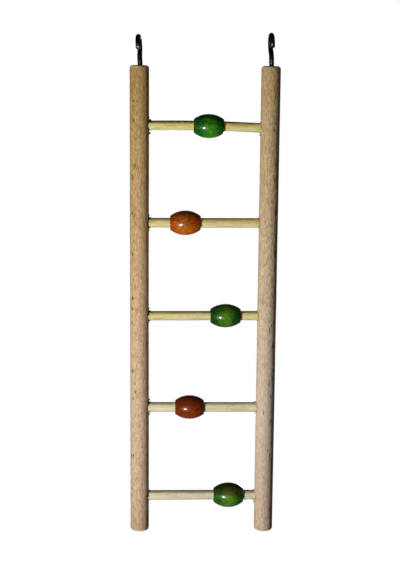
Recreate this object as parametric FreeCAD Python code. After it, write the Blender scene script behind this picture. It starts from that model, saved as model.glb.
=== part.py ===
import FreeCAD, Part
import math
import os

os.makedirs("parts", exist_ok=True)

# Wooden bird ladder that hangs from a cage bar by two wire screw hooks.
# X runs across the ladder, Z is up and -Y is its front. Lengths are in millimetres.
# The origin is on the cage bar's line, midway between the hooks.

# Rails: round dowels with eased ends
RAIL_DIA = 12.0
CLEAR_SPAN = 69.0
TOP_END = 37.5
RUNG_PITCH = 60.0
FOOT_END = 23.2
TOP_EDGE_ROUND = 2.0
FOOT_EDGE_ROUND = 1.5

# Rungs: thin dowels in blind holes, listed from the top.
# The dowels differ a little in girth, and the holes are drilled by eye, so each end sits
# a little off its even height. The first rung is also sprung upwards between its holes.
RUNG_DIA = 6.0
RUNG_GIRTH_OFFSET = (0.0, 0.15, 0.0, 0.25, 0.3)
RUNG_FIT = 0.05
HOLE_PAST_AXIS = 1.0
HOLE_END_GAP = 0.5
RUNG_END_BREAK = 0.4
LEFT_HOLE_RISE = (0.8, -0.1, 0.1, -0.1, 0.1)
RIGHT_HOLE_RISE = (-0.5, 0.0, 0.4, -0.1, 0.4)
RUNG_BOW = (0.6, 0.0, 0.0, 0.0, 0.0)

# Beads: turned barrels, loose on the rungs, listed from the top.
# A place is a share of the way from the middle of the rung to the rail, right is positive.
# The turned sizes differ a little from bead to bead.
BEAD_DIA = 15.4
BEAD_LENGTH = 19.0
BORE_PLAY = 0.5
SLIDING_GAP = 0.1
END_WALL = 0.8
BORE_EDGE_BREAK = 0.3
BEAD_EDGE_ROUND = 0.4
BEAD_PLACE = (0.10, -0.47, 0.57, -0.33, 0.70)
BEAD_GIRTH_OFFSET = (-0.4, 0.1, -0.4, -0.1, 0.7)
BEAD_LENGTH_OFFSET = (-0.2, 0.2, 0.3, -0.4, 0.4)

# Hooks: one bent wire each, with a pointed shank screwed into the top of the rail and a
# tip that was nipped off. The screws were set by eye, a little off the rails' axes.
# Lean is towards the right and twist turns the mouth towards the right, in degrees.
WIRE_DIA = 3.1
BOW_INNER_DIA = 7.6
NECK_RADIUS = 6.5
SHANK_RISE = 2.1
TIP_DROP_ANGLE = 17.5
TIP_CUT_ANGLE = 50.0
SCREW_DEPTH = 13.0
SCREW_POINT_LENGTH = 3.0
SCREW_POINT_DIA = 0.5
PILOT_FIT = 0.05
PILOT_END_GAP = 0.5
LEFT_HOOK_OFF_AXIS = 0.5
LEFT_HOOK_LEAN = -3.6
LEFT_HOOK_TWIST = -4.4
RIGHT_HOOK_OFF_AXIS = 0.2
RIGHT_HOOK_BACKED_OUT = 1.3
RIGHT_HOOK_LEAN = -1.4
RIGHT_HOOK_TWIST = 2.3

# Sizes that follow from the ones above
RUNG_COUNT = len(RUNG_BOW)
RAIL_RADIUS = RAIL_DIA / 2
RAIL_X = CLEAR_SPAN / 2 + RAIL_RADIUS
RAIL_LENGTH = TOP_END + (RUNG_COUNT - 1) * RUNG_PITCH + FOOT_END
WIRE_RADIUS = WIRE_DIA / 2
BOW_RADIUS = BOW_INNER_DIA / 2 + WIRE_RADIUS
NECK_RISE = math.sqrt(BOW_RADIUS ** 2 + 2 * NECK_RADIUS * BOW_RADIUS)
BOW_HEIGHT = SHANK_RISE + NECK_RISE
LEFT_BOW_RISE = BOW_HEIGHT * math.cos(math.radians(LEFT_HOOK_LEAN))
RIGHT_BOW_RISE = BOW_HEIGHT * math.cos(math.radians(RIGHT_HOOK_LEAN)) + RIGHT_HOOK_BACKED_OUT
RAIL_TOP_Z = -(LEFT_BOW_RISE + RIGHT_BOW_RISE) / 2
FIRST_RUNG_Z = RAIL_TOP_Z - TOP_END

UP = FreeCAD.Vector(0, 0, 1)
BACK = FreeCAD.Vector(0, 1, 0)
RIGHT = FreeCAD.Vector(1, 0, 0)


def save(shape, node):
    """Write one solid to its own file."""
    shape.exportStep(f"parts/{node}.step")


def round_edges_at(shape, centre):
    """The circular edges that lie around one centre point."""
    found = []
    for edge in shape.Edges:
        circle = isinstance(edge.Curve, Part.Circle)
        if circle and edge.Curve.Center.distanceToPoint(centre) < RUNG_FIT:
            found.append(edge)
    return found


def drill(radius, mouth, inwards, depth):
    """A flat-ended bore that starts outside its mouth, so that it clears a curved surface."""
    start = mouth - inwards * radius
    return Part.makeCylinder(radius, depth + radius, start, inwards)


class RungLine:
    """Where one rung runs: its two hole mouths, its chord and how its ends enter the rails."""

    def __init__(self, index):
        height = FIRST_RUNG_Z - index * RUNG_PITCH
        left_axis = FreeCAD.Vector(-RAIL_X, 0, height + LEFT_HOLE_RISE[index])
        right_axis = FreeCAD.Vector(RAIL_X, 0, height + RIGHT_HOLE_RISE[index])
        self.along = (right_axis - left_axis).normalize()
        self.above = self.along.cross(BACK)
        if self.above.z < 0:
            self.above = -self.above
        self.left_mouth = left_axis + self.along * RAIL_RADIUS
        self.right_mouth = right_axis - self.along * RAIL_RADIUS
        self.chord = self.left_mouth.distanceToPoint(self.right_mouth)
        self.middle = (self.left_mouth + self.right_mouth) * 0.5
        self.radius = (RUNG_DIA + RUNG_GIRTH_OFFSET[index]) / 2
        self.bow = RUNG_BOW[index]
        slope = 2 * math.atan2(2 * self.bow, self.chord)
        level = self.along * math.cos(slope)
        rise = self.above * math.sin(slope)
        self.into_left = -(level + rise)
        self.into_right = level - rise

    def holes(self):
        """The two blind holes that the rung's ends sit in, left and right."""
        radius = self.radius + RUNG_FIT
        depth = RAIL_RADIUS + HOLE_PAST_AXIS
        left = drill(radius, self.left_mouth, self.into_left, depth)
        right = drill(radius, self.right_mouth, self.into_right, depth)
        return left, right


def make_rung(line):
    """A dowel whose straight ends are joined by a straight or slightly arched middle."""
    reach = RAIL_RADIUS + HOLE_PAST_AXIS - HOLE_END_GAP
    left_end = line.left_mouth + line.into_left * reach
    right_end = line.right_mouth + line.into_right * reach
    if line.bow:
        crown = line.middle + line.above * line.bow
        span = Part.Arc(line.left_mouth, crown, line.right_mouth).toShape()
        edges = [Part.makeLine(left_end, line.left_mouth), span, Part.makeLine(line.right_mouth, right_end)]
    else:
        edges = [Part.makeLine(left_end, right_end)]
    disc = Part.Face(Part.Wire(Part.makeCircle(line.radius, left_end, -line.into_left)))
    rod = Part.Wire(edges).makePipe(disc)
    ends = round_edges_at(rod, left_end) + round_edges_at(rod, right_end)
    return rod.makeChamfer(RUNG_END_BREAK, ends)


def make_bead(line, index):
    """A barrel turned about its bore, which keeps clear of its rung all along its slide."""
    half_length = (BEAD_LENGTH + BEAD_LENGTH_OFFSET[index]) / 2
    girth_radius = (BEAD_DIA + BEAD_GIRTH_OFFSET[index]) / 2
    bore_radius = line.radius + BORE_PLAY
    end_radius = bore_radius + END_WALL
    bore_mouth_radius = bore_radius + BORE_EDGE_BREAK
    bore_half_length = half_length - BORE_EDGE_BREAK

    def point(x, radius):
        return FreeCAD.Vector(x, 0, radius)

    left_rim = point(-half_length, end_radius)
    right_rim = point(half_length, end_radius)
    outline = [
        Part.Arc(left_rim, point(0, girth_radius), right_rim).toShape(),
        Part.makeLine(right_rim, point(half_length, bore_mouth_radius)),
        Part.makeLine(point(half_length, bore_mouth_radius), point(bore_half_length, bore_radius)),
        Part.makeLine(point(bore_half_length, bore_radius), point(-bore_half_length, bore_radius)),
        Part.makeLine(point(-bore_half_length, bore_radius), point(-half_length, bore_mouth_radius)),
        Part.makeLine(point(-half_length, bore_mouth_radius), left_rim),
    ]
    bead = Part.Face(Part.Wire(outline)).revolve(FreeCAD.Vector(0, 0, 0), RIGHT, 360)
    rims = []
    for x in (-half_length, half_length):
        for edge in round_edges_at(bead, FreeCAD.Vector(x, 0, 0)):
            if edge.Curve.Radius > bore_mouth_radius + BORE_EDGE_BREAK:
                rims.append(edge)
    bead = bead.makeFillet(BEAD_EDGE_ROUND, rims)
    travel = line.chord / 2 - half_length
    lift = min(line.bow, BORE_PLAY - SLIDING_GAP)
    centre = line.middle + line.along * (travel * BEAD_PLACE[index]) + line.above * lift
    bead.Placement = FreeCAD.Placement(centre, FreeCAD.Rotation(RIGHT, line.along))
    return bead


def hook_placement(seat_x, backed_out, lean, twist):
    """Stand a hook on the top of its rail, turned about its shank and then leaned."""
    seat = FreeCAD.Vector(seat_x, 0, RAIL_TOP_Z + backed_out)
    turn = FreeCAD.Rotation(BACK, lean).multiply(FreeCAD.Rotation(UP, twist))
    return FreeCAD.Placement(seat, turn)


def slanting_cut(tip, onwards, inwards):
    """The block that a slanting cut takes off the end of the bow, so that the slope faces outwards."""
    slope = math.radians(TIP_CUT_ANGLE)
    reach = WIRE_DIA + WIRE_RADIUS
    along = (onwards * math.cos(slope) + inwards * math.sin(slope)) * reach
    waste = (onwards * math.sin(slope) - inwards * math.cos(slope)) * reach
    corners = [tip - along, tip + along, tip + along + waste, tip - along + waste, tip - along]
    block = Part.Face(Part.makePolygon(corners))
    block.translate(-RIGHT * WIRE_DIA)
    return block.extrude(RIGHT * (2 * WIRE_DIA))


def make_hook(placement):
    """A wire with a pointed shank, a neck that leans back and an open round bow."""
    def at(y, z):
        return FreeCAD.Vector(0, y, z)

    def on_neck(angle):
        return at(NECK_RADIUS * (1 - math.cos(angle)), SHANK_RISE + NECK_RADIUS * math.sin(angle))

    def on_bow(angle):
        return at(BOW_RADIUS * math.cos(angle), BOW_HEIGHT + BOW_RADIUS * math.sin(angle))

    neck_turn = math.atan2(NECK_RISE, NECK_RADIUS)
    tip_angle = math.pi + math.radians(TIP_DROP_ANGLE)
    uncut_angle = tip_angle + WIRE_DIA / BOW_RADIUS
    point_top = at(0, SCREW_POINT_LENGTH - SCREW_DEPTH)
    neck_end = on_neck(neck_turn)
    path = Part.Wire([
        Part.makeLine(point_top, at(0, SHANK_RISE)),
        Part.Arc(at(0, SHANK_RISE), on_neck(neck_turn / 2), neck_end).toShape(),
        Part.Arc(neck_end, on_bow((uncut_angle - neck_turn) / 2), on_bow(uncut_angle)).toShape(),
    ])
    disc = Part.Face(Part.Wire(Part.makeCircle(WIRE_RADIUS, point_top, UP)))
    wire = path.makePipe(disc)
    onwards = at(-math.sin(tip_angle), math.cos(tip_angle))
    inwards = at(-math.cos(tip_angle), -math.sin(tip_angle))
    wire = wire.cut(slanting_cut(on_bow(tip_angle), onwards, inwards))
    point = Part.makeCone(SCREW_POINT_DIA / 2, WIRE_RADIUS, SCREW_POINT_LENGTH, at(0, -SCREW_DEPTH), UP)
    hook = wire.fuse(point).removeSplitter().Solids[0]
    hook.Placement = placement
    return hook


def pilot_hole(placement, backed_out):
    """The hole that the hook's shank is screwed into, down the middle of the rail."""
    depth = SCREW_DEPTH - backed_out + PILOT_END_GAP
    down = placement.Rotation.multVec(-UP)
    mouth = placement.Base + down * backed_out
    return drill(WIRE_RADIUS + PILOT_FIT, mouth, down, depth)


def make_rail(rail_x, holes):
    """A dowel with eased ends, drilled for its rungs and its hook."""
    foot = FreeCAD.Vector(rail_x, 0, RAIL_TOP_Z - RAIL_LENGTH)
    top = FreeCAD.Vector(rail_x, 0, RAIL_TOP_Z)
    rail = Part.makeCylinder(RAIL_RADIUS, RAIL_LENGTH, foot, UP)
    rail = rail.makeFillet(TOP_EDGE_ROUND, round_edges_at(rail, top))
    rail = rail.makeFillet(FOOT_EDGE_ROUND, round_edges_at(rail, foot))
    return rail.cut(holes).Solids[0]


left_holes = []
right_holes = []
for number in range(1, RUNG_COUNT + 1):
    rung_line = RungLine(number - 1)
    left_hole, right_hole = rung_line.holes()
    left_holes.append(left_hole)
    right_holes.append(right_hole)
    save(make_rung(rung_line), f"rung_{number}")
    save(make_bead(rung_line, number - 1), f"bead_{number}")

left_seat = hook_placement(LEFT_HOOK_OFF_AXIS - RAIL_X, 0, LEFT_HOOK_LEAN, LEFT_HOOK_TWIST)
right_seat = hook_placement(
    RIGHT_HOOK_OFF_AXIS + RAIL_X, RIGHT_HOOK_BACKED_OUT, RIGHT_HOOK_LEAN, RIGHT_HOOK_TWIST
)
left_holes.append(pilot_hole(left_seat, 0))
right_holes.append(pilot_hole(right_seat, RIGHT_HOOK_BACKED_OUT))
save(make_hook(left_seat), "left_hook")
save(make_hook(right_seat), "right_hook")
save(make_rail(-RAIL_X, left_holes), "left_rail")
save(make_rail(RAIL_X, right_holes), "right_rail")
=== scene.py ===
import math

import bpy
from mathutils import Matrix, Vector, noise


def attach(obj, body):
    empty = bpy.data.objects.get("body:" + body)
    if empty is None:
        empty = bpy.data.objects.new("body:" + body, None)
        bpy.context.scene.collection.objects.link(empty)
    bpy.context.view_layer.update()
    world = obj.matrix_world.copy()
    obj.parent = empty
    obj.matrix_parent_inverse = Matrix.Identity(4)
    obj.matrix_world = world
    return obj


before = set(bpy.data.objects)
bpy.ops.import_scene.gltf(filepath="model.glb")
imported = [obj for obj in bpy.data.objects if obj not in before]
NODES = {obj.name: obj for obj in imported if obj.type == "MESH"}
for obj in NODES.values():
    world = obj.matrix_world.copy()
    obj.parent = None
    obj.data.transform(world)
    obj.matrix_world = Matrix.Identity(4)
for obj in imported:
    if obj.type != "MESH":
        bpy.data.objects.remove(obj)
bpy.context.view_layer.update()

MM = 0.001

# The ladder's own measures that the scene needs, in millimetres
RAIL_X = 40.5
RAIL_RADIUS = 6.0
RAIL_TOP = -12.64
RAIL_FOOT = -313.34
RUNG_COUNT = 5
RUNG_RADIUS = 3.0
RUNG_PITCH = 60.0
FIRST_RUNG = -50.14
LEFT, RIGHT = -1, 1


# Camera

# The camera stands level with the hooks, a little left of the middle, and looks down at the rungs
CAMERA_AT = Vector((-24.8, -835.3, 16.58)) * MM
CAMERA_YAW = math.radians(1.55)
CAMERA_PITCH = math.radians(11.274)
CAMERA_ROLL = math.radians(0.47)
CAMERA_LENS = 84.9
SENSOR_WIDTH = 36
NEAREST = 0.01
FARTHEST = 50

ahead = Vector((math.sin(CAMERA_YAW) * math.cos(CAMERA_PITCH),
                math.cos(CAMERA_YAW) * math.cos(CAMERA_PITCH),
                -math.sin(CAMERA_PITCH)))
level = Vector((math.cos(CAMERA_YAW), -math.sin(CAMERA_YAW), 0))
upward = level.cross(ahead)
right = math.cos(CAMERA_ROLL) * level + math.sin(CAMERA_ROLL) * upward
up = -math.sin(CAMERA_ROLL) * level + math.cos(CAMERA_ROLL) * upward


def stand_camera():
    """The camera of the front view."""
    data = bpy.data.cameras.new("camera")
    data.sensor_width = SENSOR_WIDTH
    data.lens = CAMERA_LENS
    data.clip_start = NEAREST
    data.clip_end = FARTHEST
    camera = bpy.data.objects.new("camera", data)
    bpy.context.scene.collection.objects.link(camera)
    turn = Matrix((right, up, -ahead)).transposed().to_4x4()
    camera.matrix_world = Matrix.Translation(CAMERA_AT) @ turn
    bpy.context.scene.camera = camera


stand_camera()
bpy.context.scene.view_settings.view_transform = "Standard"


# Lamps

# All lamps face the ladder's middle. The key stands low on the left, and the back lamp behind the ladder, a
# little to the right. Places are in metres.
MIDDLE = Vector((0, 0, -0.16))
KEY_AT = Vector((-0.293, -0.397, -0.29))
GLINT_AT = MIDDLE + Vector((-0.43, -1.06, -0.19))
FILL_AT = MIDDLE + Vector((-0.10, -0.60, 1.20))
BACK_AT = MIDDLE + 1.3 * (ahead + 0.25 * right).normalized()


def lamp(name, place, width, brightness, diffuse=True, glossy=True):
    """A round lamp. At brightness 1 a white card that faces it from the middle renders as plain white."""
    data = bpy.data.lights.new(name, "AREA")
    data.shape = "DISK"
    data.size = width
    way = MIDDLE - place
    data.energy = brightness * math.pi ** 2 * way.length_squared
    lit = bpy.data.objects.new(name, data)
    lit.location = place
    lit.rotation_euler = way.to_track_quat("-Z", "Y").to_euler()
    lit.visible_camera = False
    lit.visible_diffuse = diffuse
    lit.visible_glossy = glossy
    bpy.context.scene.collection.objects.link(lit)


lamp("key", KEY_AT, width=0.07, brightness=1.0, glossy=False)
lamp("glint", GLINT_AT, width=0.20, brightness=1.8, diffuse=False)
lamp("fill", FILL_AT, width=0.50, brightness=0.06, glossy=False)
lamp("back", BACK_AT, width=0.12, brightness=0.75)


# World and floor

AMBIENT = 0.03
WHITE = (1, 1, 1, 1)
# In reflections the white sweep behind the ladder fades out between these angles, and the room is dark
SWEEP_FULL, SWEEP_END = math.cos(math.radians(13)), math.cos(math.radians(26))
FLOOR_LEVEL = -1.5
FLOOR_HALF = 0.5
FLOOR_MIRRORED = 0.15
FLOOR_CORNERS = [(-FLOOR_HALF, -FLOOR_HALF, 0), (FLOOR_HALF, -FLOOR_HALF, 0),
                 (FLOOR_HALF, FLOOR_HALF, 0), (-FLOOR_HALF, FLOOR_HALF, 0)]
PAPER = (0.85, 0.85, 0.85, 1)


def add(tree, kind, inputs=None, **settings):
    """Adds a node with its settings, sets or links its inputs by name or number, and returns it."""
    node = tree.nodes.new(kind)
    for setting, value in settings.items():
        setattr(node, setting, value)
    for socket, value in (inputs or {}).items():
        if isinstance(value, bpy.types.NodeSocket):
            tree.links.new(value, node.inputs[socket])
        else:
            node.inputs[socket].default_value = value
    return node


def shown(tree, mirrored):
    """1 for the camera's rays, mirrored for those of polished surfaces and glass, 0 for all others."""
    path = add(tree, "ShaderNodeLightPath").outputs
    polished = add(tree, "ShaderNodeMath", {0: path["Is Glossy Ray"], 1: path["Is Transmission Ray"]},
                   operation="MAXIMUM").outputs[0]
    reflected = add(tree, "ShaderNodeMath", {0: polished, 1: mirrored}, operation="MULTIPLY").outputs[0]
    return add(tree, "ShaderNodeMath", {0: path["Is Camera Ray"], 1: reflected},
               operation="MAXIMUM").outputs[0]


def make_world():
    """White to the camera, a white sweep in reflections, and a faint even light on the ladder."""
    world = bpy.data.worlds.new("studio")
    bpy.context.scene.world = world
    world.use_nodes = True
    tree = world.node_tree
    tree.nodes.clear()
    dim = add(tree, "ShaderNodeBackground", {0: WHITE, 1: AMBIENT})
    white = add(tree, "ShaderNodeBackground", {0: WHITE, 1: 1.0})
    way = add(tree, "ShaderNodeTexCoord").outputs["Generated"]
    facing = add(tree, "ShaderNodeVectorMath", {0: way, 1: ahead}, operation="DOT_PRODUCT")
    sweep = add(tree, "ShaderNodeMapRange", {"Value": facing.outputs["Value"], "From Min": SWEEP_END,
                                             "From Max": SWEEP_FULL}, interpolation_type="SMOOTHSTEP")
    pick = add(tree, "ShaderNodeMixShader", {0: shown(tree, sweep.outputs[0]), 1: dim.outputs[0],
                                             2: white.outputs[0]})
    add(tree, "ShaderNodeOutputWorld", {0: pick.outputs[0]})


def floor_paper():
    """White paper that takes the ladder's shadow and is plain white to the camera."""
    paper = bpy.data.materials.new("floor_paper")
    paper.use_nodes = True
    tree = paper.node_tree
    tree.nodes.clear()
    matt = add(tree, "ShaderNodeBsdfDiffuse", {0: PAPER})
    unlit = add(tree, "ShaderNodeEmission", {1: 0.0})
    glow = add(tree, "ShaderNodeEmission", {1: 1.0})
    pick = add(tree, "ShaderNodeMixShader", {0: shown(tree, FLOOR_MIRRORED), 1: unlit.outputs[0],
                                             2: glow.outputs[0]})
    both = add(tree, "ShaderNodeAddShader", {0: matt.outputs[0], 1: pick.outputs[0]})
    add(tree, "ShaderNodeOutputMaterial", {0: both.outputs[0]})
    return paper


def make_floor():
    """A square of paper far below the hanging ladder."""
    mesh = bpy.data.meshes.new("floor")
    mesh.from_pydata(FLOOR_CORNERS, [], [range(len(FLOOR_CORNERS))])
    mesh.materials.append(floor_paper())
    floor = bpy.data.objects.new("floor", mesh)
    floor.location = (0, 0, FLOOR_LEVEL)
    bpy.context.scene.collection.objects.link(floor)


make_world()
make_floor()


# Materials

# Most of any cloudy noise lies in the wide span, and its plain middle in the narrow one
WIDE = (0.3, 0.7)
NARROW = (0.35, 0.65)


class Finish:
    """One procedural material, laid out in millimetres from origin. Each method returns an output."""

    def __init__(self, name, origin=(0, 0, 0), **gloss):
        self.material = bpy.data.materials.new(name)
        self.material.use_nodes = True
        self.tree = self.material.node_tree
        self.tree.nodes.clear()
        gloss = {socket.replace("_", " "): value for socket, value in gloss.items()}
        self.shader = add(self.tree, "ShaderNodeBsdfPrincipled", gloss)
        add(self.tree, "ShaderNodeOutputMaterial", {"Surface": self.shader.outputs[0]})
        source = add(self.tree, "ShaderNodeTexCoord").outputs
        self.facing = source["Normal"]
        per_mm = (1 / MM, 1 / MM, 1 / MM)
        self.place = self.stretch(source["Object"], per_mm, [-value for value in origin])

    def stretch(self, vector, scale=(1, 1, 1), shift=(0, 0, 0), turn=(0, 0, 0)):
        """Scales a vector, turns it by degrees, then shifts it."""
        angles = [math.radians(angle) for angle in turn]
        return add(self.tree, "ShaderNodeMapping", {"Vector": vector, "Scale": scale, "Location": shift,
                                                    "Rotation": angles}).outputs[0]

    def noise(self, size, detail=3.0, rough=0.55, warp=0.0, shift=(0, 0, 0), place=None):
        """Cloudy noise. Its size is one blob's size in millimetres along each axis."""
        spot = self.stretch(place or self.place, [1 / length for length in size], shift)
        return add(self.tree, "ShaderNodeTexNoise", {"Vector": spot, "Scale": 1.0, "Detail": detail,
                                                     "Roughness": rough, "Distortion": warp}).outputs["Fac"]

    def cells(self, size, shift, place=None):
        """Distance to the nearest of scattered points, in cells, and that point's own colour."""
        spot = self.stretch(place or self.place, [1 / length for length in size], shift)
        cell = add(self.tree, "ShaderNodeTexVoronoi", {"Vector": spot, "Scale": 1.0})
        return cell.outputs["Distance"], cell.outputs["Color"]

    def math(self, operation, a, b=0.0):
        return add(self.tree, "ShaderNodeMath", {0: a, 1: b}, operation=operation).outputs[0]

    def fit(self, value, low, high, to_low=0.0, to_high=1.0, smooth=True):
        """Maps low to high onto to_low to to_high, and holds the ends."""
        inputs = {"Value": value, "From Min": low, "From Max": high, "To Min": to_low, "To Max": to_high}
        return add(self.tree, "ShaderNodeMapRange", inputs,
                   interpolation_type="SMOOTHSTEP" if smooth else "LINEAR").outputs["Result"]

    def parts(self, vector):
        return add(self.tree, "ShaderNodeSeparateXYZ", {0: vector}).outputs

    def along(self, vector, way):
        inputs = {0: vector, 1: way}
        return add(self.tree, "ShaderNodeVectorMath", inputs, operation="DOT_PRODUCT").outputs["Value"]

    def length(self, vector):
        return add(self.tree, "ShaderNodeVectorMath", {0: vector}, operation="LENGTH").outputs["Value"]

    def ramp(self, value, stops):
        """A colour from stops of (position, linear red, green, blue)."""
        node = add(self.tree, "ShaderNodeValToRGB", {"Fac": value})
        while len(node.color_ramp.elements) < len(stops):
            node.color_ramp.elements.new(0.5)
        for element, (where, *color) in zip(node.color_ramp.elements, stops):
            element.position = where
            element.color = (*color, 1)
        return node.outputs["Color"]

    def blend(self, a, b, amount, way="MIX"):
        """Blends two colours or outputs."""
        a, b = (c if isinstance(c, bpy.types.NodeSocket) else (*c, 1) for c in (a, b))
        return add(self.tree, "ShaderNodeMix", {0: amount, 6: a, 7: b}, data_type="RGBA", blend_type=way,
                   clamp_result=way != "MIX").outputs[2]

    def tint(self, base, value, tints, amount=1.0):
        """Multiplies the base by a ramp of tints."""
        return self.blend(base, self.ramp(value, tints), amount, "MULTIPLY")

    def mark(self, base, color, amount):
        """Multiplies the base by one colour where amount is 1."""
        return self.blend(base, self.blend(base, color, 1.0, "MULTIPLY"), amount)

    def wear(self, color, roughness, height, depth):
        """Gives the shader its colour, roughness and relief, which stands depth millimetres proud."""
        normal = add(self.tree, "ShaderNodeBump", {"Height": height, "Distance": depth * MM, "Strength": 1.0})
        for socket, value in (("Base Color", color), ("Roughness", roughness), ("Normal", normal.outputs[0])):
            self.tree.links.new(value, self.shader.inputs[socket])
        return self.material


def dress(node, material):
    """Gives a carried-over piece its material."""
    for slot in NODES[node].material_slots:
        slot.material = material


# Rails

WOOD_SHINE = 0.12
# The beech's figure, from soft patches to fine pores: grain size, noise detail and roughness, tints
BEECH_FIGURE = [
    ((2.2, 2.2, 5.5), 3, 0.65,
     [(0.34, 1.0, 0.94, 0.89), (0.50, 0.985, 0.975, 0.95), (0.66, 0.975, 1.0, 0.88)]),
    ((0.95, 0.95, 4.5), 4, 0.75,
     [(0.34, 0.71, 0.65, 0.57), (0.50, 0.955, 0.94, 0.91), (0.62, 1.12, 1.12, 1.10)]),
    ((0.60, 0.60, 2.2), 2, 0.75,
     [(0.34, 0.72, 0.67, 0.60), (0.52, 0.975, 0.96, 0.945), (0.64, 1.06, 1.06, 1.05)]),
]
# Between these heights the figure grows fainter towards the foot
CALM_FROM, CALM_TO = -130.0, -230.0
# Dashes of the wood's rays: their width, their own offset in the noise, where in it they show, their share
# on the poor and the rich side, how far across the rail that share changes, their colour, and their depth
# against the relief
RAY_WIDTH = 0.75
RAY_OFFSET = 5
RAY_EDGE = (0.57, 0.68)
RAY_SHARES = (0.25, 0.75)
RAY_SIDES = (-4.0, 4.0)
RAY_COLOR = (0.48, 0.35, 0.24)
RAY_DEPTH = 0.5
# A pit fades out between these shares of its size, it is weaker between the pores, and it is deep
PIT_EDGE = (0.65, 1.45)
PIT_RAGGED = (0.66, 0.40, 0.8, 1.0)
PIT_COLOR = (0.12, 0.058, 0.018)
PIT_DEPTH = 2.0
# The eased edge and the sawn face at each end are painted pale as painted light, by how far the surface faces
# up or down
PAINTED_LIGHT_EDGE_COLOR = (0.74, 0.56, 0.31)
EDGE_SLOPES = (0.05, 0.45, 0.0, 0.85)
PAINTED_LIGHT_FACE_COLORS = [(0.4, 0.86, 0.62, 0.34), (0.6, 0.98, 0.76, 0.45)]
FACE_SLOPES = (0.45, 0.80)
FACE_GRAIN = (0.5, 2.5, 400)
BEECH_ROUGH = (*NARROW, 0.74, 0.58)
BEECH_RELIEF = 0.03


def height_stops(colours):
    """Ramp stops from (height in millimetres, red, green, blue), foot of the rail first."""
    length = RAIL_TOP - RAIL_FOOT
    return [((z - RAIL_FOOT) / length, *rgb) for z, *rgb in colours]


def ray_dashes(wood, length, side, shift):
    """Short dashes, more of them on the side where the growth layers stand edge-on."""
    ray = wood.noise((RAY_WIDTH, RAY_WIDTH, length), detail=1, rough=0.5,
                     shift=[value + RAY_OFFSET for value in shift])
    across = wood.math("MULTIPLY", wood.parts(wood.place)[0], side)
    return wood.math("MULTIPLY", wood.fit(ray, *RAY_EDGE),
                     wood.fit(across, *RAY_SIDES, *RAY_SHARES, smooth=False))


def pit_marks(wood, pits):
    """Pits, each at its own place on the rail's front."""
    marks = 0.0
    for across, height, width, length in pits:
        depth = -math.sqrt(RAIL_RADIUS ** 2 - across ** 2)
        near = wood.stretch(wood.place, (1 / width, 1 / width, 1 / length),
                            (-across / width, -depth / width, -height / length))
        marks = wood.math("MAXIMUM", marks, wood.fit(wood.length(near), *PIT_EDGE, 1.0, 0.0))
    return marks


def sawn_ends_painted_light(wood, base, shift):
    """The eased edge at each end and the sawn face, with its end grain, are painted pale as painted light."""
    slope = wood.math("ABSOLUTE", wood.parts(wood.facing)[2])
    base = wood.blend(base, PAINTED_LIGHT_EDGE_COLOR, wood.fit(slope, *EDGE_SLOPES))
    face = wood.ramp(wood.noise(FACE_GRAIN, shift=shift), PAINTED_LIGHT_FACE_COLORS)
    return wood.blend(base, face, wood.fit(slope, *FACE_SLOPES))


def beech(name, axis_x, heights, pits, ray_length, ray_side, calm, shift):
    """Sanded beech dowel with upright grain, dashes and a few pits. Towards the foot its figure is fainter
    by the share calm."""
    wood = Finish(name, origin=(axis_x, 0, 0), Specular_IOR_Level=WOOD_SHINE)
    z = wood.parts(wood.place)[2]
    base = wood.ramp(wood.fit(z, RAIL_FOOT, RAIL_TOP, smooth=False), height_stops(heights))
    strength = wood.fit(z, CALM_FROM, CALM_TO, 1.0, 1.0 - calm)
    for size, detail, rough, tints in BEECH_FIGURE:
        pore = wood.noise(size, detail, rough, shift=shift)
        base = wood.tint(base, pore, tints, strength)
    rays = wood.math("MULTIPLY", ray_dashes(wood, ray_length, ray_side, shift), strength)
    base = wood.mark(base, RAY_COLOR, rays)
    hollow = wood.math("MULTIPLY", pit_marks(wood, pits), wood.fit(pore, *PIT_RAGGED))
    base = wood.blend(base, PIT_COLOR, hollow)
    # Painted light: both ends of the rail are painted pale
    base = sawn_ends_painted_light(wood, base, shift)
    height = wood.math("SUBTRACT", wood.fit(pore, *WIDE), wood.math("MULTIPLY", hollow, PIT_DEPTH))
    height = wood.math("SUBTRACT", height, wood.math("MULTIPLY", rays, RAY_DEPTH))
    return wood.wear(base, wood.fit(pore, *BEECH_ROUGH), height, BEECH_RELIEF)


# Each rail's colour by height, as (millimetres, linear red, green, blue)
LEFT_BEECH = [(-312.8, 0.534, 0.364, 0.250), (-290, 0.603, 0.432, 0.307), (-240, 0.632, 0.467, 0.349),
              (-190, 0.648, 0.464, 0.312), (-130, 0.643, 0.441, 0.252), (-70, 0.616, 0.410, 0.185),
              (-12.8, 0.529, 0.340, 0.129)]
RIGHT_BEECH = [(-312.8, 0.626, 0.478, 0.352), (-290, 0.639, 0.488, 0.368), (-240, 0.679, 0.554, 0.447),
               (-190, 0.697, 0.565, 0.437), (-130, 0.711, 0.562, 0.391), (-70, 0.700, 0.521, 0.307),
               (-12.8, 0.644, 0.458, 0.228)]
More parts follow.
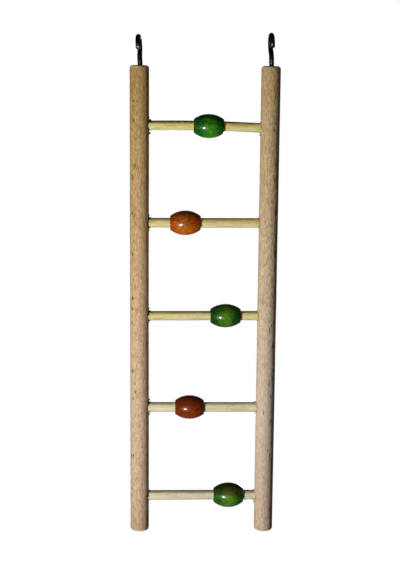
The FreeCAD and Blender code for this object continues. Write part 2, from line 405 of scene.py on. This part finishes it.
# Each pit's place across the front and height, then its half width and half length
LEFT_PITS = [(-3.5, -34.1, 0.5, 0.8), (-3.8, -37.6, 0.5, 0.6), (-3.8, -39.6, 0.5, 0.6),
             (-3.7, -46.2, 0.65, 1), (-2.6, -73.9, 0.45, 1.2), (-4.1, -80.4, 0.6, 0.8),
             (-4.2, -81.9, 0.6, 0.7), (-3.2, -105.3, 0.5, 0.9), (-4.3, -103.9, 0.6, 0.8),
             (-4.2, -129.9, 0.6, 0.9), (-4.3, -158, 0.75, 1.2), (-4.4, -164.6, 0.75, 1),
             (-4.6, -173.9, 0.5, 0.8), (-4.5, -205.4, 0.75, 0.9), (-3.1, -213.4, 0.4, 1),
             (-2.6, -218.7, 0.4, 1), (-3.7, -223.2, 0.4, 1), (-3.8, -261.5, 0.6, 0.9),
             (-5.1, -261.6, 0.6, 0.7)]
RIGHT_PITS = [(2.8, -30, 0.29, 2.1), (2.1, -51.6, 0.29, 1.4), (3.5, -71, 0.29, 1.7),
              (3.1, -83.1, 0.29, 1.7), (1.6, -96, 0.29, 1.4), (4.1, -102.9, 0.4, 2.8),
              (4.1, -129.1, 0.43, 2), (2.8, -175.2, 0.29, 1.1), (1.6, -178.1, 0.32, 1.8),
              (3.8, -188.5, 0.4, 1.7), (1.9, -212.9, 0.32, 2.8), (3.1, -221.8, 0.36, 1.4),
              (3.4, -238.6, 0.36, 1.4), (-1.3, -232.6, 0.27, 1.3), (3.1, -261.1, 0.32, 1.4),
              (1.8, -257.8, 0.27, 1.1)]
dress("left_rail", beech("beech_left", -RAIL_X, LEFT_BEECH, LEFT_PITS,
                         ray_length=2.4, ray_side=LEFT, calm=0.10, shift=(0, 0, 0)))
dress("right_rail", beech("beech_right", RAIL_X, RIGHT_BEECH, RIGHT_PITS,
                          ray_length=3.6, ray_side=RIGHT, calm=0.33, shift=(4, 9, 2)))


# Rungs

# Long streaks colour a rung, by its three colours at these stops, and shift its layers up and down
STREAK_SIZE = (14, 0.9, 0.9)
STREAK_STOPS = (0.30, 0.48, 0.66)
LAYER_SWAY = 0.35
FIBRE_SIZE = (3.0, 0.30, 0.30)
FIBRE_TINTS = [(0.32, 0.78, 0.75, 0.68), (0.54, 1, 1, 1)]
# Short open vessels: their cells, the edge of each mark, how few of the cells show one, their colour, and
# their depth against the relief
VESSEL_SIZE = (5.5, 0.42, 0.42)
VESSEL_EDGE = (0.10, 0.22, 1.0, 0.0)
VESSEL_PICK = (0.55, 0.60)
VESSEL_COLOR = (0.50, 0.40, 0.25)
VESSEL_DEPTH = 1.2
# Glue stains the last of the rung before the rail
STAIN_REACH = (33.2, 35.0)
STAIN_COLOR = (1.0, 0.94, 0.78)
DOWEL_ROUGH = (*WIDE, 0.66, 0.52)
DOWEL_RELIEF = 0.02


def dowel(name, rung_z, colours, layers_and_top_shade, shift):
    """Thin pale dowel, its grain along X. The layers tint it from bottom to top, as (share of the radius,
    red, green, blue); their last stops darken its top as painted shade."""
    wood = Finish(name, origin=(0, 0, rung_z), Specular_IOR_Level=WOOD_SHINE)
    x, _, z = wood.parts(wood.place)
    streak = wood.noise(STREAK_SIZE, rough=0.6, shift=shift)
    base = wood.ramp(streak, [(stop, *color) for stop, color in zip(STREAK_STOPS, colours)])
    z = wood.math("ADD", z, wood.fit(streak, *WIDE, -LAYER_SWAY, LAYER_SWAY, smooth=False))
    # Tints by height across the rung; the darkest top stops are painted shade
    base = wood.tint(base, wood.fit(z, -RUNG_RADIUS, RUNG_RADIUS, smooth=False),
                     [((share + 1) / 2, *color) for share, *color in layers_and_top_shade])
    fibre = wood.noise(FIBRE_SIZE, rough=0.7, shift=shift)
    base = wood.tint(base, fibre, FIBRE_TINTS)
    vessel, pick = wood.cells(VESSEL_SIZE, shift)
    vessels = wood.math("MULTIPLY", wood.fit(vessel, *VESSEL_EDGE),
                        wood.fit(wood.parts(pick)[0], *VESSEL_PICK))
    base = wood.mark(base, VESSEL_COLOR, vessels)
    base = wood.mark(base, STAIN_COLOR, wood.fit(wood.math("ABSOLUTE", x), *STAIN_REACH))
    height = wood.math("SUBTRACT", wood.fit(fibre, *WIDE), wood.math("MULTIPLY", vessels, VESSEL_DEPTH))
    return wood.wear(base, wood.fit(streak, *DOWEL_ROUGH), height, DOWEL_RELIEF)


# Each rung's dark, middle and pale colour
RUNG_COLOURS = [
    ((0.634, 0.538, 0.170), (0.829, 0.750, 0.289), (0.903, 0.863, 0.433)),
    ((0.651, 0.530, 0.203), (0.833, 0.710, 0.338), (0.937, 0.826, 0.460)),
    ((0.610, 0.511, 0.194), (0.768, 0.644, 0.302), (0.847, 0.744, 0.410)),
    ((0.660, 0.563, 0.309), (0.832, 0.736, 0.454), (0.910, 0.832, 0.570)),
    ((0.589, 0.506, 0.333), (0.719, 0.638, 0.452), (0.796, 0.726, 0.571)),
]
# The layers' tints. The last stops of each rung darken its top as painted shade.
PAINTED_TOP_SHADE = [(0.70, 1.0, 0.99, 0.97), (0.86, 0.72, 0.68, 0.60), (1.0, 0.54, 0.48, 0.40)]
RUNG_LAYERS_AND_TOP_SHADE = [
    [(-0.8, 0.92, 0.96, 1.12), (-0.5, 0.97, 1.02, 1.22), (-0.3, 1.00, 1.00, 1.06), (0.1, 1.06, 0.98, 0.77),
     (0.3, 1.12, 1.03, 0.84), (0.76, 1.16, 1.02, 0.98), (0.90, 0.62, 0.52, 0.44), (1.0, 0.48, 0.40, 0.33)],
    [(-0.7, 0.95, 0.97, 1.00), (-0.5, 0.98, 1.02, 1.12), (-0.27, 1.01, 1.00, 1.00), (0.15, 0.95, 0.87, 0.69),
     (0.5, 1.02, 0.93, 0.72), (0.73, 1.02, 0.93, 0.77), (0.9, 0.70, 0.60, 0.48), (1.0, 0.54, 0.46, 0.38)],
    [(-0.8, 0.88, 0.89, 0.84), (-0.5, 1.01, 1.01, 0.98), (0.5, 1.02, 1.05, 1.05), *PAINTED_TOP_SHADE],
    [(-0.8, 0.90, 0.91, 0.95), (-0.5, 0.97, 0.98, 1.03), (0.5, 0.98, 0.98, 1.00), *PAINTED_TOP_SHADE],
    [(-0.8, 1.00, 1.00, 1.00), (-0.5, 1.05, 1.05, 1.06), (0.5, 1.02, 1.02, 0.98), *PAINTED_TOP_SHADE],
]
# Each rung is cut from its own stretch of wood
RUNG_SHIFT = (3.7, 1.9, 5.1)
for number in range(RUNG_COUNT):
    cut = [number * step for step in RUNG_SHIFT]
    height = FIRST_RUNG - number * RUNG_PITCH
    material = dowel(f"dowel_{number + 1}", height, RUNG_COLOURS[number], RUNG_LAYERS_AND_TOP_SHADE[number], cut)
    dress(f"rung_{number + 1}", material)


# Beads

VARNISH = {"Specular_IOR_Level": 0.10, "Coat_Weight": 1.0, "Coat_Roughness": 0.13, "Coat_IOR": 1.22}
# Noise by which the growth layers wander, and clouds by which the deep colour of the ends does
DRIFT_SIZE = (6, 4, 4)
CLOUD_SIZE = (3.5, 2.5, 2.5)
CLOUD_SWAY = 2.6
# Streaks along the grain, and a finer mottling
GRAIN_SIZE = (2.8, 0.8, 0.8)
GRAIN_TINTS = [(0.34, 0.50, 0.52, 0.45), (0.50, 0.96, 0.96, 0.94), (0.64, 1.30, 1.14, 1.05)]
MOTTLE_SIZE = (1.0, 0.85, 0.85)
MOTTLE_TINTS = [(0.36, 0.50, 0.56, 0.52), (0.50, 1, 1, 1), (0.64, 1.60, 1.32, 1.30)]
# Short ray flecks: the blank's slant in degrees, their cells, their edge, how many show, and the colour
FLECK_SLANT = 32
FLECK_SIZE = (1.9, 0.9, 0.85)
FLECK_EDGE = (0.14, 0.36, 1.0, 0.0)
FLECK_PICK = (0.35, 0.75)
FLECK_COLOR = (0.34, 0.30, 0.30)
# The stain is thicker round the flat ends
FLAT_END = (0.55, 0.95)
FLAT_END_COLOR = (0.45, 0.45, 0.45)
BEAD_ROUGH = (*NARROW, 0.40, 0.32)
BEAD_RELIEF = 0.008


def growth_layers(bead, turned, stops, tilt, sway, shift):
    """The stain's colour by growth layer."""
    along, depth = bead.parts(turned)[:2]
    outward = bead.math("SUBTRACT", bead.math("MULTIPLY", depth, -1.0), bead.math("MULTIPLY", along, tilt))
    drift = bead.noise(DRIFT_SIZE, rough=0.6, warp=0.3, shift=shift, place=turned)
    outward = bead.math("ADD", outward, bead.fit(drift, *WIDE, -sway, sway, smooth=False))
    low, high = stops[0][0], stops[-1][0]
    return bead.ramp(bead.fit(outward, low, high, smooth=False),
                     [((out - low) / (high - low), *color) for out, *color in stops])


def deep_ends(bead, base, turned, pale_zone, end_tint, shift):
    """End grain drinks more stain, so the colour is deep at both ends of the barrel."""
    middle, half, fade = pale_zone
    cloud = bead.noise(CLOUD_SIZE, rough=0.65, warp=0.5, shift=shift)
    away = bead.math("ABSOLUTE", bead.math("SUBTRACT", bead.parts(turned)[0], middle))
    away = bead.math("ADD", away, bead.fit(cloud, *WIDE, -CLOUD_SWAY, CLOUD_SWAY, smooth=False))
    return bead.mark(base, end_tint, bead.fit(away, half, half + fade))


def fleck_marks(bead, shift):
    """Short ray flecks, slanted as the blank was cut."""
    slant = bead.stretch(bead.place, turn=(0, FLECK_SLANT, 0))
    fleck, pick = bead.cells(FLECK_SIZE, shift, place=slant)
    return bead.math("MULTIPLY", bead.fit(fleck, *FLECK_EDGE), bead.fit(bead.parts(pick)[0], *FLECK_PICK))


def stained(name, centre, dip, stops, pale_zone, end_tint, flecks, shift, tilt=0.0, sway=2.0):
    """Turned bead, stained and varnished, its grain along the bore. Its growth layers face dip degrees below
    the front and lean by tilt. The stops colour them, as (millimetres out, red, green, blue), and sway is
    how far they wander. Outside the pale zone (middle, half width, fade) the stain has soaked in deeper."""
    bead = Finish(name, origin=centre, **VARNISH)
    turned = bead.stretch(bead.place, turn=(-dip, 0, 0))
    base = growth_layers(bead, turned, stops, tilt, sway, shift)
    base = deep_ends(bead, base, turned, pale_zone, end_tint, shift)
    grain = bead.noise(GRAIN_SIZE, detail=4, rough=0.7, warp=0.7, shift=shift, place=turned)
    base = bead.tint(base, grain, GRAIN_TINTS)
    mottle = bead.noise(MOTTLE_SIZE, rough=0.8, warp=0.4, shift=shift)
    base = bead.tint(base, mottle, MOTTLE_TINTS)
    marks = fleck_marks(bead, shift)
    base = bead.mark(base, FLECK_COLOR, bead.math("MULTIPLY", marks, flecks))
    flat = bead.fit(bead.math("ABSOLUTE", bead.parts(bead.facing)[0]), *FLAT_END)
    base = bead.mark(base, FLAT_END_COLOR, flat)
    height = bead.math("SUBTRACT", bead.fit(grain, *NARROW), marks)
    return bead.wear(base, bead.fit(grain, *BEAD_ROUGH), height, BEAD_RELIEF)


# The stains, by growth layer
LEAF = ((-3.0, 0.018, 0.110, 0.006), (2.5, 0.032, 0.215, 0.006), (7.0, 0.048, 0.300, 0.008))
AMBER = ((-3.0, 0.212, 0.044, 0.003), (2.0, 0.375, 0.084, 0.003), (7.0, 0.530, 0.142, 0.004))
MOSS = ((-1.0, 0.032, 0.100, 0.004), (4.5, 0.060, 0.165, 0.008), (8.0, 0.085, 0.230, 0.010))
GARNET = ((-3.0, 0.118, 0.0135, 0.001), (2.5, 0.168, 0.0235, 0.001), (8.0, 0.232, 0.036, 0.002))
SPLIT = ((-6.0, 0.026, 0.036, 0.003), (-1.0, 0.115, 0.140, 0.012), (-0.62, 0.105, 0.130, 0.011),
         (-0.35, 0.115, 0.290, 0.012), (6.0, 0.070, 0.230, 0.010))
BEADS = {
    "bead_1": dict(centre=(2.5, 0, -49.6), dip=40, stops=LEAF, pale_zone=(1.4, 1.0, 6.0),
                   end_tint=(0.13, 0.44, 0.80), flecks=0.30, shift=(0, 0, 0)),
    "bead_2": dict(centre=(-11.7, 0, -110.2), dip=45, stops=AMBER, pale_zone=(-0.8, 2.5, 6.5),
                   end_tint=(0.86, 0.56, 0.60), flecks=0.85, shift=(5, 2, 8)),
    "bead_3": dict(centre=(14.2, 0, -169.9), dip=8, stops=MOSS, pale_zone=(0.3, 0.6, 5.5),
                   end_tint=(0.12, 0.40, 0.55), flecks=0.50, shift=(9, 4, 3), sway=1.6),
    "bead_4": dict(centre=(-8.3, 0, -230.2), dip=50, stops=GARNET, pale_zone=(0.6, 3.0, 6.0),
                   end_tint=(0.92, 0.98, 0.80), flecks=0.40, shift=(2, 7, 6)),
    "bead_5": dict(centre=(17.4, 0, -289.8), dip=80, stops=SPLIT, pale_zone=(0.3, 0.8, 6.0),
                   end_tint=(0.20, 0.44, 0.50), flecks=0.25, shift=(7, 1, 4), tilt=0.06, sway=0.15),
}
for node, look in BEADS.items():
    dress(node, stained(f"stain_{node}", **look))


# Hooks

# Drawing marks along the wire, and blotches over them
DRAWN_SIZE = (0.55, 0.55, 1.6)
DRAWN_COLORS = [(0.40, 0.008, 0.008, 0.007), (0.56, 0.024, 0.024, 0.021), (0.68, 0.14, 0.14, 0.13)]
BLOTCH_SIZE = (1.1, 1.1, 1.8)
BLOTCH_TINTS = [(0.38, 0.30, 0.30, 0.26), (0.52, 0.9, 0.9, 0.86), (0.66, 2.2, 2.2, 2.1)]
# The rim of the cut end is torn bright, and the wire beside it is scraped, by millimetres from the tip
CUT_WAY = (0.03, -0.38, -0.92)
RIM_BAND = (-0.60, -0.25)
RIM_REACH = (1.7, 2.3, 1.0, 0.0)
TEAR_SIZE = (0.7, 0.7, 0.4)
TEAR_EDGE = (0.40, 0.52)
SCRAPE_REACH = (1.5, 3.6, 0.8, 0.0)
SCRAPE_EDGE = (0.52, 0.60)
WIRE_ROUGH = (*WIDE, 0.52, 0.34)
WIRE_RELIEF = 0.05


def bare_metal(wire, tip, drawn):
    """Where the metal is bare near the cut end."""
    from_tip = wire.stretch(wire.place, shift=[-value for value in tip])
    off = wire.length(from_tip)
    rim = wire.math("MULTIPLY", wire.fit(wire.along(from_tip, CUT_WAY), *RIM_BAND), wire.fit(off, *RIM_REACH))
    torn = wire.math("MULTIPLY", rim, wire.fit(wire.noise(TEAR_SIZE, rough=0.7), *TEAR_EDGE))
    scraped = wire.math("MULTIPLY", wire.fit(off, *SCRAPE_REACH), wire.fit(drawn, *SCRAPE_EDGE))
    return wire.math("MAXIMUM", torn, scraped)


def steel(name, tip, color, bare_color):
    """Dark drawn wire, bare near the cut at its tip."""
    wire = Finish(name, Metallic=1.0)
    drawn = wire.noise(DRAWN_SIZE, detail=4, rough=0.75)
    blotch = wire.noise(BLOTCH_SIZE, rough=0.7, warp=0.6)
    base = wire.tint(wire.ramp(drawn, DRAWN_COLORS), blotch, BLOTCH_TINTS)
    base = wire.blend(base, color, 1.0, "MULTIPLY")
    base = wire.blend(base, bare_color, bare_metal(wire, tip, drawn))
    return wire.wear(base, wire.fit(blotch, *WIRE_ROUGH), drawn, WIRE_RELIEF)


dress("left_hook", steel("wire_left", tip=(-41.0, -4.9, -2.4), color=(1.0, 1.0, 0.98),
                         bare_color=(0.66, 0.65, 0.62)))
dress("right_hook", steel("wire_right", tip=(40.6, -4.9, -1.1), color=(1.05, 1.0, 0.75),
                          bare_color=(0.20, 0.19, 0.16)))


# Glue at the rungs' mouths

# How far each rung's two mouths stand above their even heights, and the rungs' radii
MOUTH_RISE = {LEFT: (0.70, -0.10, 0.12, -0.10, 0.12), RIGHT: (-0.42, -0.01, 0.37, -0.10, 0.37)}
RUNG_RADII = (3.0, 3.075, 3.0, 3.125, 3.15)
# Tufts of glue and torn fibre: degrees round the rung (90 on top), run along the rung, climb up the rail
TUFTS = {(1, LEFT): ((90, 1.3, 1.9), (-90, 1.6, 2.2)), (1, RIGHT): ((-90, 1.9, 2.0), (90, 0.4, 0.4)),
         (2, LEFT): ((90, 1.1, 1.9), (-90, 1.1, 1.9)), (2, RIGHT): ((90, 0.6, 0.6), (-90, 0.5, 0.5)),
         (3, LEFT): ((90, 1.2, 1.9), (-90, 0.8, 1.7)), (3, RIGHT): ((90, 0.6, 0.6), (-90, 0.6, 0.5)),
         (4, LEFT): ((90, 1.4, 2.0), (-90, 1.5, 2.0)), (4, RIGHT): ((90, 3.0, 0.6), (-90, 2.2, 0.8)),
         (5, LEFT): ((-90, 0.5, 0.6), (90, 0.5, 0.6)), (5, RIGHT): ((-90, 1.4, 2.2), (90, 0.5, 0.4))}
TUFT_SPREAD = 0.42
TUFT_UNEVEN, TUFT_GRAIN = 0.5, 9.0
# Away from the tufts the glue runs and climbs this far, more or less by noise of (height, frequency)
THIN_RUN, THIN_CLIMB = 0.40, 0.35
RAGGED_LEAST = 0.3
RAGGED = ((1.5, 1.7), (1.3, 5.0))
# Crumbs on the glue, as (height, frequency), their size on thin glue, and what a tuft adds to it
CRUMBS = ((0.35, 2.6), (0.25, 6.0))
CRUMB_THIN, CRUMB_TUFT = 0.25, 0.7
# Where each mouth and each crumb starts in the noise
SEED_STEPS = (7.3, 4.1)
CRUMB_START = 3
# A bead slides up to the rail, so the glue leaves room for it. BEAD_REACH is how far out its end comes, and
# BORE_ROOM is what its bore leaves free round the rung. Its end wall stops BEAD_WALL above the rung, and its
# side slopes away from there. On the sprung first rung the bead rides a little high.
BEAD_REACH = 34.42
BORE_ROOM = 0.43
BEAD_WALL = 1.36
BEAD_SLOPE = 0.80
BEAD_LIFT = (0.40, 0, 0, 0, 0)
# Points of a cross-section: on the rung, up the rail beside the bead's end, beyond the bead's end wall
ON_RUNG, ON_RAIL, BEYOND = 8, 4, 8
AROUND = 72
# The glue's edges are sunk in the wood, and its inner corner lies inside the joint
SUNK = 0.05
CORNER = (0.2, -0.15)
# On the rung the glue curls up by this power, and up the rail it thins by these shares of the climb left
CURL = 1.6
BESIDE_THINNING = 0.3
BEYOND_THINNING = 1.6
# Least thickness beyond the bead, and least distance between neighbouring points
SKIN = 0.08
SLIVER = 0.004


def noise_sum(start, way, layers_and_top_shade):
    """Noise on the ray from start along way, as a sum of layers of (height, frequency)."""
    return sum(height * noise.noise(start + way * frequency) for height, frequency in layers_and_top_shade)


def glue_reach(number, side, seed, angle, out):
    """How far the glue runs along the rung and climbs up the rail at one angle, and its share of a tuft."""
    ragged = max(1 + noise_sum(seed, out, RAGGED), RAGGED_LEAST)
    run, climb, tuft = THIN_RUN * ragged, THIN_CLIMB * ragged, 0
    for place, along_rung, up_rail in TUFTS[number, side]:
        away = math.remainder(angle - math.radians(place), 2 * math.pi)
        uneven = 1 + TUFT_UNEVEN * noise.noise(seed + out * TUFT_GRAIN)
        share = math.exp(-(away / TUFT_SPREAD) ** 2) * uneven
        run += along_rung * share
        climb += up_rail * share
        tuft = max(tuft, share)
    return run, climb, tuft


def glue_section(number, side, angle):
    """One cross-section, as points about the mouth's centre: along the rung, up the rail, and back inside."""
    out = Vector((0, math.cos(angle), math.sin(angle)))
    seed = Vector((number * SEED_STEPS[0], side * SEED_STEPS[1], 0))
    run, climb, tuft = glue_reach(number, side, seed, angle, out)
    radius = RUNG_RADII[number - 1]
    lift = BEAD_LIFT[number - 1] * out.z
    bore = BORE_ROOM + lift
    wall = BEAD_WALL + lift

    def rail_face(rise):
        return RAIL_X - math.sqrt(RAIL_RADIUS ** 2 - ((radius + rise) * out.y) ** 2)

    def crumb(place, rise):
        grain = seed + out * (CRUMB_START + rise) + Vector((place, 0, 0))
        return (CRUMB_THIN + CRUMB_TUFT * tuft) * noise_sum(Vector(), grain, CRUMBS)

    section = []
    start = rail_face(0) - run
    for part in range(ON_RUNG):
        t = part / (ON_RUNG - 1)
        place = start + max(BEAD_REACH - start, 0) * t
        rise = climb * t ** CURL + 4 * t * (1 - t) * crumb(place, 0) - SUNK
        section.append((place, max(min(rise, bore), -SUNK)))
    foot = section[-1][1]
    low = foot + SLIVER
    high = max(min(climb, wall), foot + 2 * SLIVER)
    for part in range(ON_RAIL):
        rise = low + (high - low) * part / (ON_RAIL - 1)
        proud = BESIDE_THINNING * max(climb - rise, 0)
        section.append((max(rail_face(rise) - proud, BEAD_REACH), rise))
    top = max(climb, high + SLIVER)
    for part in range(1, BEYOND):
        rise = high + (top - high) * part / BEYOND
        proud = min((rise - wall) / BEAD_SLOPE, BEYOND_THINNING * (top - rise) + crumb(BEAD_REACH, rise))
        section.append((rail_face(rise) + SUNK - SKIN - max(proud, 0), rise))
    section.append((rail_face(top) + SUNK, top))
    section.append((rail_face(0) + CORNER[0], CORNER[1]))
    return [out * (radius + rise) + Vector((side * place, 0, 0)) for place, rise in section]


def ring_faces(loops, length, flip):
    """Quads between neighbouring loops of points, closed all round."""
    faces = []
    for step in range(loops):
        here, there = step * length, (step + 1) % loops * length
        for part in range(length):
            after = (part + 1) % length
            corners = (here + part, there + part, there + after, here + after)
            faces.append(corners[::-1] if flip else corners)
    return faces


def collar(number, side, material):
    """Glue and torn fibre round one rung's mouth: a thin uneven fillet from the rung up the rail."""
    sections = [glue_section(number, side, 2 * math.pi * step / AROUND) for step in range(AROUND)]
    height = FIRST_RUNG - (number - 1) * RUNG_PITCH + MOUTH_RISE[side][number - 1]
    mouth = Vector((0, 0, height))
    points = [(point + mouth) * MM for section in sections for point in section]
    name = f"glue_{number}_{'left' if side == LEFT else 'right'}"
    mesh = bpy.data.meshes.new(name)
    mesh.from_pydata(points, [], ring_faces(AROUND, len(sections[0]), side == LEFT))
    mesh.materials.append(material)
    piece = bpy.data.objects.new(name, mesh)
    bpy.context.scene.collection.objects.link(piece)
    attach(piece, "ladder")


CRUST_SIZE = (0.8, 0.8, 0.8)
CRUST_STOPS = (0.35, 0.50, 0.65)
CRUST_FIBRE_SIZE = (0.5, 0.16, 0.16)
CRUST_FIBRE_TINTS = [(0.35, 0.55, 0.50, 0.42), (0.6, 1, 1, 1)]
CRUST_ROUGH = (*WIDE, 0.75, 0.50)
CRUST_RELIEF = 0.08


def glue(name, *colours):
    """Dried glue full of torn fibre, in a dark, a middle and a light colour."""
    crust = Finish(name, Specular_IOR_Level=WOOD_SHINE)
    cloud = crust.noise(CRUST_SIZE, detail=4, rough=0.7)
    fibre = crust.noise(CRUST_FIBRE_SIZE, rough=0.7)
    base = crust.ramp(cloud, [(stop, *color) for stop, color in zip(CRUST_STOPS, colours)])
    base = crust.tint(base, fibre, CRUST_FIBRE_TINTS)
    return crust.wear(base, crust.fit(cloud, *CRUST_ROUGH), fibre, CRUST_RELIEF)


# The glue at the left mouths is the same glue darkened as painted shade, for the left rail's shaded side
CRUST = {LEFT: glue("glue_painted_shade", (0.020, 0.012, 0.005), (0.060, 0.036, 0.014), (0.17, 0.11, 0.05)),
         RIGHT: glue("glue_pale", (0.28, 0.20, 0.08), (0.55, 0.45, 0.20), (0.72, 0.64, 0.36))}
for number, side in TUFTS:
    collar(number, side, CRUST[side])


# Last update of the view layer

bpy.context.view_layer.update()
